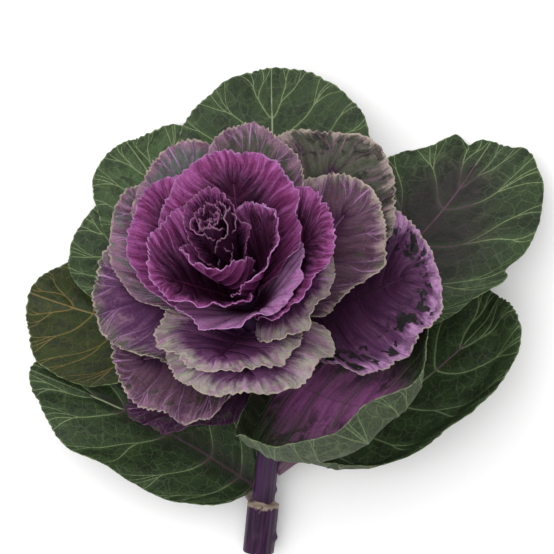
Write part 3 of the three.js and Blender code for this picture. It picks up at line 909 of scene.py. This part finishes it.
def stalk_skin(sizes):
    """Waxy violet skin with lengthways grooves darkened by painted shade, and the dry ring and flecks
    where leaves came off.
    """
    shade = Shade("stalk_skin")
    around, far = shade.flat_map("flat")
    surface = shade.vector(around, far)
    grain = shade.noise(shade.vector(around, shade.times(far, 0.05)), 0.7, 4, 0.65)
    blotch = shade.noise(surface, 0.07, 3, 0.6)
    # Painted shade: the dark shade colour fills the grooves where the grain sinks, as if they were
    # shadowed.
    colour = shade.blend(shade.band(grain, 0.35, 0.68), sizes.shade, sizes.skin)
    dusty = shade.times(shade.band(blotch, 0.5, 0.7), 0.12)
    colour = shade.blend(dusty, colour, sizes.bloom)
    upper = shade.times(shade.band(far, SCAR_AT, SCAR_AT + 14.0), 0.16)
    colour = shade.blend(upper, colour, sizes.bloom)
    torn = shade.swing(shade.noise(surface, 0.3, 3, 0.6), 7.0)
    from_scar = shade.math("ABSOLUTE", shade.plus(far, -SCAR_AT, torn))
    ring = shade.band(from_scar, 0.6, 2.0, 1, 0)
    colour = shade.blend(shade.times(ring, 0.85), colour, sizes.scar)
    dry = shade.band(shade.noise(surface, 0.12, 3, 0.6, 0.6), 0.66, 0.7)
    dry = shade.times(dry, shade.band(far, SCAR_AT, SCAR_AT + 2.0, 1, 0), 0.8)
    colour = shade.blend(dry, colour, sizes.scar)
    height = shade.plus(grain, shade.times(ring, 0.8), shade.times(dry, 0.5))
    roughness = shade.line(blotch, 0.3, 0.7, 0.34, 0.5)
    return shade.finish(colour, roughness, height, 0.0006, 0.6, Specular_IOR_Level=0.25)


def cut_face(sizes):
    """The cut: moist pale pith, a ring of fibres and the violet skin's edge."""
    shade = Shade("stalk_cut")
    x, y = shade.flat_map("flat")
    place = shade.vector(x, y)
    from_middle = shade.node("VectorMath", {0: place}, operation="LENGTH").outputs["Value"]
    torn = shade.swing(shade.noise(place, 0.5, 3), 1.6)
    out = shade.math("DIVIDE", shade.plus(from_middle, torn), sizes.cut_radius / MM)
    colour = shade.blend(shade.band(out, 0.35, 0.62), sizes.pith, sizes.scar)
    fibres = shade.noise(place, 1.1, 3, 0.7)
    colour = shade.blend(shade.times(shade.band(fibres, 0.45, 0.65), 0.4), colour, sizes.scar)
    colour = shade.blend(shade.band(out, 0.74, 0.92), colour, sizes.skin)
    return shade.finish(colour, 0.5, fibres, 0.0005, 0.6, Specular_IOR_Level=0.35)


def hue(red, green, blue, name, description):
    """A colour to choose, given as a screen shows it, from 0 to 255."""
    screen = [c / 255 for c in (red, green, blue)]
    linear = [c / 12.92 if c <= 0.04045 else ((c + 0.055) / 1.055) ** 2.4 for c in screen]
    return bpy.props.FloatVectorProperty(
        name=name, description=description, default=(*linear, 1), size=4, min=0, max=1, subtype="COLOR"
    )


def amount(value, name, description, **settings):
    """A number to choose."""
    return bpy.props.FloatProperty(name=name, description=description, default=value, **settings)


def length(value, name, description):
    """A size to choose, given in millimetres."""
    settings = {"min": 0, "precision": 5, "unit": "LENGTH", "subtype": "DISTANCE"}
    return amount(value * MM, name, description, **settings)


class KaleStalkSettings(bpy.types.PropertyGroup):
    cut_radius: length(8.5, "Cut radius", "Radius at the cut end, below the leaf scar")
    neck_radius: length(5.9, "Neck radius", "Radius just above the leaf scar")
    head_radius: length(8.6, "Head radius", "Radius where the leaves crowd")
    top_radius: length(4.4, "Top radius", "Radius under the heart")
    skin: hue(62, 20, 66, "Skin", "The waxy violet of the skin")
    # Shade is painted shade, laid into the skin's grooves.
    shade: hue(22, 4, 24, "Shade", "The dark purple in its grooves")
    bloom: hue(112, 88, 122, "Bloom", "The greyish wax on the skin")
    scar: hue(164, 146, 128, "Scar", "The dry tan of old leaf scars")
    pith: hue(150, 140, 120, "Pith", "The pale inside at the cut")


class KaleLeafSettings(bpy.types.PropertyGroup):
    thickness: length(0.8, "Thickness", "Thickness of a blade near its midrib")
    rim_thickness: length(0.45, "Rim thickness", "Thickness of a blade at its edge")
    green: hue(40, 57, 30, "Green", "The outer leaves' upper face")
    # Deep green is the outer leaves' own dark patches, and also painted shadow at the root of outer leaf
    # 5.
    deep_green_and_shade: hue(24, 32, 20, "Deep green", "The outer leaves' darkest places")
    black_green: hue(26, 28, 24, "Black green", "The dark spots of the large variegated leaf")
    light_green: hue(60, 80, 47, "Light green", "The outer leaves' palest places")
    olive: hue(40, 52, 16, "Olive", "The yellowing lower leaf")
    olive_green: hue(70, 78, 58, "Olive green", "The green islands of the variegated leaves")
    teal: hue(80, 96, 84, "Teal", "The bluish green of the upper variegated leaves")
    vein: hue(120, 136, 96, "Veins", "The pale side veins")
    orange_vein: hue(112, 98, 54, "Ageing veins", "The veins of the yellowing leaf")
    under_green: hue(54, 65, 46, "Underside", "The dull lower face of a green leaf")
    sage: hue(158, 160, 140, "Sage", "The pale green of turned-back margins")
    cream: hue(168, 156, 142, "Cream", "The pale rim of the variegated leaves")
    rose: hue(132, 100, 118, "Rose", "The variegated leaves' pink margins")
    mauve: hue(88, 60, 76, "Mauve", "The dull purple of the variegated leaves")
    violet: hue(88, 50, 88, "Violet", "The variegated leaves' purple faces")
    # Dusk is painted shade on the large leaf.
    dusk_shade: hue(44, 40, 40, "Dusk", "The dull purple green beside the large leaf's midrib")
    plum: hue(58, 25, 54, "Plum", "The variegated leaves' dark centres")
    magenta: hue(126, 48, 102, "Magenta", "The inner leaves' upper face")
    orchid: hue(156, 88, 146, "Orchid", "The inner leaves' lighter outer parts")
    lilac: hue(176, 130, 176, "Lilac", "The inner leaves' edges")
    # Wine is the inner leaves' own dark purple and also painted shade in the depth of the heart and at
    # the inner roots.
    wine_and_shade: hue(40, 11, 33, "Wine", "The inner leaves' roots and the depth of the heart")


class KaleStageSettings(bpy.types.PropertyGroup):
    floor: hue(253, 253, 253, "Floor", "The plain floor")
    camera_height: amount(1.3, "Camera height", "Height of the camera over the floor", unit="LENGTH")
    focal_length: amount(152, "Focal length", "Focal length of the camera", unit="CAMERA")
    key_power: amount(40, "Key light", "Power of the soft light", unit="POWER")
    fill: amount(0.66, "Fill", "Strength of the light all round")


def leaf_look(whorl, number):
    """A leaf's look, with the colours that its settings name."""
    colours = bpy.context.scene.kale_leaf
    look = {**GREEN_LOOK, **WHORL_LOOKS[whorl], **OWN_LOOKS.get((whorl, number), {})}
    named = {key: getattr(colours, value) for key, value in look.items() if isinstance(value, str)}
    return {**look, **named}


def leaf_finishes(name, look):
    top = leaf_top(name + "_top", look)
    under = leaf_under(name + "_under", look)
    return [top, under, rib_finish(name + "_rib", look)]


def build_leaf(whorl, number):
    """Grows one leaf in place of its solid."""
    sizes = bpy.context.scene.kale_leaf
    name = f"{whorl}_leaf_{number}"
    leaf = Leaf(whorl, number, LEAVES[whorl][number - 1])
    patches = Patches()
    add_blade(patches, leaf, sizes)
    add_rib(patches, leaf, sizes)
    finishes = leaf_finishes(name, leaf_look(whorl, number))
    if (whorl, number) in SHADED:
        shaded = number + len(LEAVES[whorl])
        add_blade(patches, Leaf(whorl, shaded, SHADED[whorl, number]), sizes, len(finishes))
        finishes += leaf_finishes(f"{whorl}_leaf_{shaded}", leaf_look(whorl, shaded))[:2]
    piece = patches.build("kale_" + name, finishes)
    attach(piece, BODY)
    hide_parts(name)


def build_whorl(whorl):
    for number in range(1, len(LEAVES[whorl]) + 1):
        build_leaf(whorl, number)


def stalk_ring(sizes, turn, distance):
    """The stalk's skin at one distance: ridges, the torn ring of the leaf scar and two old bud scars."""
    ragged = SCAR_AT + SCAR_WANDER * wander(3, 14, turn / math.tau)
    cut = sizes.cut_radius / MM
    above = stalk_radius(sizes, max(distance, SCAR_AT))
    below, beyond = SCAR_STEP
    radius = mix(cut, above, ramp(ragged + below, ragged + beyond, distance))
    ridged = 1
    for count, twist, phase, size in RIDGES:
        ridged = ridged + size * np.cos(count * turn + twist * distance + phase)
    radius *= ridged
    radius += SCAR_HEIGHT * np.exp(-(((distance - ragged) / SCAR_WIDTH) ** 2))
    for bud_turn, bud_distance, rise in BUD_SCARS:
        away = np.abs((turn - bud_turn * DEGREE + math.pi) % math.tau - math.pi) * cut
        radius += rise * np.exp(-(away**2 + (distance - bud_distance) ** 2) / BUD_SPREAD)
    return radius


class KALE_OT_stalk(bpy.types.Operator):
    """Grow the stalk, with its cut face and leaf scars"""

    bl_idname = "kale.stalk"
    bl_label = "Stalk"

    def execute(self, context):
        sizes = context.scene.kale_stalk
        line = stalk_line(sizes.cut_radius / MM)
        turn = np.linspace(0, 1, STALK_SIDES, endpoint=False) * math.tau
        fine = np.linspace(0, FINE_TO, 2 * FINE_TO + 1)
        distances = np.concatenate([fine, np.linspace(FINE_TO + 1, STALK_TOP, 80)])
        rings = []
        for distance in distances:
            _, right, back = stalk_axes(distance)
            outwards = np.cos(turn)[:, None] * right + np.sin(turn)[:, None] * back
            radius = stalk_ring(sizes, turn, distance)[:, None]
            rings.append(stalk_point(line, distance) + outwards * radius)
        patches = Patches()
        add_tube(patches, np.array(rings)[:, ::-1], 0, distances, 1)
        piece = patches.build("kale_stalk", [stalk_skin(sizes), cut_face(sizes)])
        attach(piece, BODY)
        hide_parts("stalk")
        return {"FINISHED"}


class KALE_OT_outer_leaves(bpy.types.Operator):
    """Grow the green outer leaves"""

    bl_idname = "kale.outer_leaves"
    bl_label = "Outer leaves"

    def execute(self, context):
        build_whorl("outer")
        return {"FINISHED"}


class KALE_OT_middle_leaves(bpy.types.Operator):
    """Grow the variegated middle leaves"""

    bl_idname = "kale.middle_leaves"
    bl_label = "Middle leaves"

    def execute(self, context):
        build_whorl("middle")
        return {"FINISHED"}


class KALE_OT_inner_leaves(bpy.types.Operator):
    """Grow the purple inner leaves"""

    bl_idname = "kale.inner_leaves"
    bl_label = "Inner leaves"

    def execute(self, context):
        build_whorl("inner")
        return {"FINISHED"}


class KALE_OT_heart(bpy.types.Operator):
    """Grow the crinkled leaves of the heart"""

    bl_idname = "kale.heart"
    bl_label = "Heart"

    def execute(self, context):
        sizes = context.scene.kale_leaf
        patches = Patches()
        for number, row in enumerate([*LEAVES["heart"], *TUFT], 1):
            add_blade(patches, Leaf("heart", number, row), sizes)
        piece = patches.build("kale_heart", leaf_finishes("heart", leaf_look("heart", 1)))
        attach(piece, BODY)
        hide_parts("heart")
        return {"FINISHED"}


class KALE_OT_stage(bpy.types.Operator):
    """Set out the floor, the light and the camera"""

    bl_idname = "kale.stage"
    bl_label = "Stage"

    def execute(self, context):
        stage = context.scene.kale_stage
        scene = context.scene
        mesh = bpy.data.meshes.new("floor")
        reach = FLOOR_REACH
        corners = [(-reach, -reach, 0), (reach, -reach, 0), (reach, reach, 0), (-reach, reach, 0)]
        mesh.from_pydata(corners, [], [(0, 1, 2, 3)])
        floor = put("floor", mesh)
        shade = Shade("floor")
        place = shade.node("TexCoord").outputs["Object"]
        fleck = shade.noise(place, 3.0, 2)
        mesh.materials.append(shade.finish(stage.floor, shade.line(fleck, 0.3, 0.7, 0.6, 0.7)))

        world = bpy.data.worlds.new("studio")
        world.use_nodes = True
        background = world.node_tree.nodes["Background"]
        background.inputs["Color"].default_value = (1, 1, 1, 1)
        background.inputs["Strength"].default_value = stage.fill
        scene.world = world

        light = bpy.data.lights.new("softbox", "AREA")
        light.energy = stage.key_power
        light.size = SOFTBOX_SIZE
        box = put("softbox", light)
        box.location = SOFTBOX_AT
        box.rotation_euler = (-box.location).to_track_quat("-Z", "Y").to_euler()

        data = bpy.data.cameras.new("camera")
        data.lens = stage.focal_length
        data.sensor_width = SENSOR_WIDTH
        data.clip_start, data.clip_end = CAMERA_SIGHT
        camera = put("camera", data)
        camera.location = (-MIDDLE[0] * MM, -MIDDLE[1] * MM, stage.camera_height)
        scene.camera = camera
        scene.view_settings.view_transform = "Standard"
        return {"FINISHED"}


class KALE_PT_panel(bpy.types.Panel):
    """Lists the steps that grow the kale"""

    bl_idname = "KALE_PT_panel"
    bl_label = "Kale"
    bl_space_type = "VIEW_3D"
    bl_region_type = "UI"
    bl_category = "Kale"

    def draw(self, context):
        for step in STEPS:
            self.layout.operator(step.bl_idname)


STEPS = (
    KALE_OT_stage,
    KALE_OT_stalk,
    KALE_OT_outer_leaves,
    KALE_OT_middle_leaves,
    KALE_OT_inner_leaves,
    KALE_OT_heart,
)
SETTINGS = {
    "kale_stalk": KaleStalkSettings,
    "kale_leaf": KaleLeafSettings,
    "kale_stage": KaleStageSettings,
}


def register():
    for made in (*SETTINGS.values(), *STEPS, KALE_PT_panel):
        bpy.utils.register_class(made)
    for name, group in SETTINGS.items():
        setattr(bpy.types.Scene, name, bpy.props.PointerProperty(type=group))


def unregister():
    for name in SETTINGS:
        delattr(bpy.types.Scene, name)
    for made in reversed((*SETTINGS.values(), *STEPS, KALE_PT_panel)):
        bpy.utils.unregister_class(made)


def main():
    register()
    bpy.ops.kale.stage()
    bpy.ops.kale.stalk()
    bpy.ops.kale.outer_leaves()
    bpy.ops.kale.middle_leaves()
    bpy.ops.kale.inner_leaves()
    bpy.ops.kale.heart()


if __name__ == "__main__":
    main()
